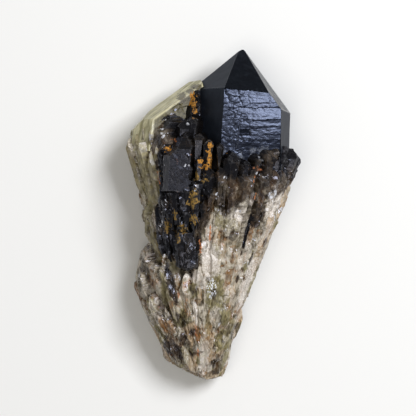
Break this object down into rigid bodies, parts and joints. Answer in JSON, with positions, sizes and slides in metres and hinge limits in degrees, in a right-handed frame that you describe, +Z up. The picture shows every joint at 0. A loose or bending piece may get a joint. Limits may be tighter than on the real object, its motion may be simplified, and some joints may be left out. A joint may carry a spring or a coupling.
{
  "type": "smoky quartz crystal",
  "caption": "Natural smoky quartz cluster lying on its back: a large pointed dark head, a paler side crystal, a crown of small crystals and a tapering splintered root.",
  "frame": {"origin": "middle of the bounding box in X and Y, on the plane it lies on", "axes": "+Y along the crystal towards its point, +X to the right as its front is seen, +Z up from the surface it lies on, towards the front"},
  "size_m": [0.0584, 0.1103, 0.0333],
  "materials": {
    "smoky_quartz": "polished by growth on the head's faces, splintery and milky towards the root"
  },
  "bodies": {
    "root": {"smoky_quartz_crystal": "smoky_quartz"}
  },
  "joints": []
}
